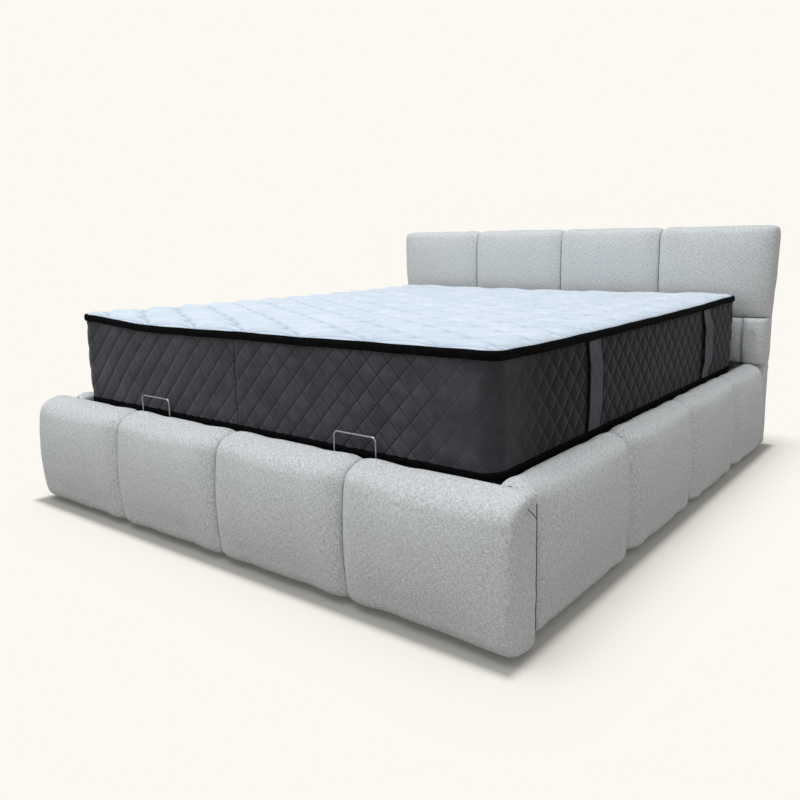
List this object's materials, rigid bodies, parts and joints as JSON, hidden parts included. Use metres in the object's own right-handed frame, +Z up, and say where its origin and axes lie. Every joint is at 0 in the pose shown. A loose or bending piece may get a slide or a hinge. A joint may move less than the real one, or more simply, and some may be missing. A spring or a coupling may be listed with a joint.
{
  "type": "ottoman storage bed",
  "caption": "Ottoman storage bed in light grey channel-padded upholstery, with a mattress on a slatted steel deck that lifts at the foot on gas struts.",
  "frame": {"origin": "on the floor, under the middle of the whole bed", "axes": "+X across the bed, to the right seen from the foot; +Y towards the headboard; +Z up"},
  "size_m": [2.1, 2.37, 1.02],
  "materials": {
    "upholstery": "light grey tweed weave",
    "cover_cloth": "light grey tweed weave, stretched flat",
    "lined_board": "board with a black felt lining",
    "black_steel": "satin black powder coat",
    "zinc_steel": "zinc plated",
    "chrome_wire": "bright chrome",
    "strut_steel": "gloss black tube",
    "slat_wood": "clear lacquered beech",
    "batten_wood": "sawn pine",
    "floor_board": "hardboard with a black felt face",
    "black_rubber": "matt",
    "black_plastic": "moulded",
    "mattress_top": "white knitted quilting",
    "mattress_side": "charcoal diamond quilting",
    "mattress_binding": "black woven tape",
    "mattress_foam": "foam and springs in a cotton sleeve"
  },
  "bodies": {
    "base": {"footboard_pad_1": "upholstery", "footboard_pad_2": "upholstery", "footboard_pad_3": "upholstery", "footboard_pad_4": "upholstery", "side_pad_left_1": "upholstery", "side_pad_left_2": "upholstery", "side_pad_left_3": "upholstery", "side_pad_left_4": "upholstery", "side_pad_right_1": "upholstery", "side_pad_right_2": "upholstery", "side_pad_right_3": "upholstery", "side_pad_right_4": "upholstery", "headboard_top_pad_1": "upholstery", "headboard_top_pad_2": "upholstery", "headboard_top_pad_3": "upholstery", "headboard_top_pad_4": "upholstery", "headboard_middle_pads": "upholstery", "headboard_back_cover": "cover_cloth", "headboard_inner_cover": "cover_cloth", "footboard_board": "lined_board", "headboard_board": "lined_board", "side_board_left": "lined_board", "side_board_right": "lined_board", "deck_ledges": "black_steel", "hinge_plate_left": "black_steel", "hinge_plate_right": "black_steel", "guide_track_left": "black_steel", "guide_track_right": "black_steel", "corner_brackets": "zinc_steel", "frame_fasteners": "zinc_steel", "pivot_studs": "zinc_steel", "floor_battens": "batten_wood", "floor_panels": "floor_board", "deck_bumpers": "black_rubber", "floor_glides": "black_plastic"},
    "lift_arms": {"lift_arm_left": "black_steel", "lift_arm_right": "black_steel", "arm_pins": "zinc_steel"},
    "strut_tubes": {"strut_tube_left": "strut_steel", "strut_tube_right": "strut_steel"},
    "strut_rods": {"strut_rod_left": "zinc_steel", "strut_rod_right": "zinc_steel"},
    "deck": {"deck_rail_left": "black_steel", "deck_rail_right": "black_steel", "deck_foot_tube": "black_steel", "deck_head_tube": "black_steel", "deck_centre_tube": "black_steel", "deck_cross_tubes": "black_steel", "deck_bracket_left": "black_steel", "deck_bracket_right": "black_steel", "track_bushes": "black_plastic", "slats": "slat_wood", "slat_holders": "black_rubber", "mattress_retainers": "chrome_wire", "mattress_core": "mattress_foam", "mattress_top_panel": "mattress_top", "mattress_border": "mattress_side", "mattress_base_cover": "mattress_side", "mattress_tapes": "mattress_binding", "mattress_handles": "mattress_side"}
  },
  "joints": [
    {"name": "arm_lift", "type": "hinge", "parent": "base", "child": "lift_arms", "pos_m": [0, -0.18566, 0.25], "axis": [1, 0, 0], "range_deg": [0, 36]},
    {"name": "deck_tilt", "type": "hinge", "parent": "lift_arms", "child": "deck", "pos_m": [0, 0.28967, 0.3168], "axis": [1, 0, 0], "range_deg": [-72, 0]},
    {"name": "strut_tube_swing", "type": "hinge", "parent": "base", "child": "strut_tubes", "pos_m": [0, 0.03729, 0.04926], "axis": [1, 0, 0], "range_deg": [0, 18]},
    {"name": "strut_rod_swing", "type": "hinge", "parent": "lift_arms", "child": "strut_rods", "pos_m": [0, 0.11142, 0.29175], "axis": [1, 0, 0], "range_deg": [-18, 0]}
  ],
  "couplings": [
    {"joint": "deck_tilt", "follows": "arm_lift", "ratio": -2},
    {"joint": "strut_tube_swing", "follows": "arm_lift", "ratio": 0.5},
    {"joint": "strut_rod_swing", "follows": "arm_lift", "ratio": -0.5}
  ]
}
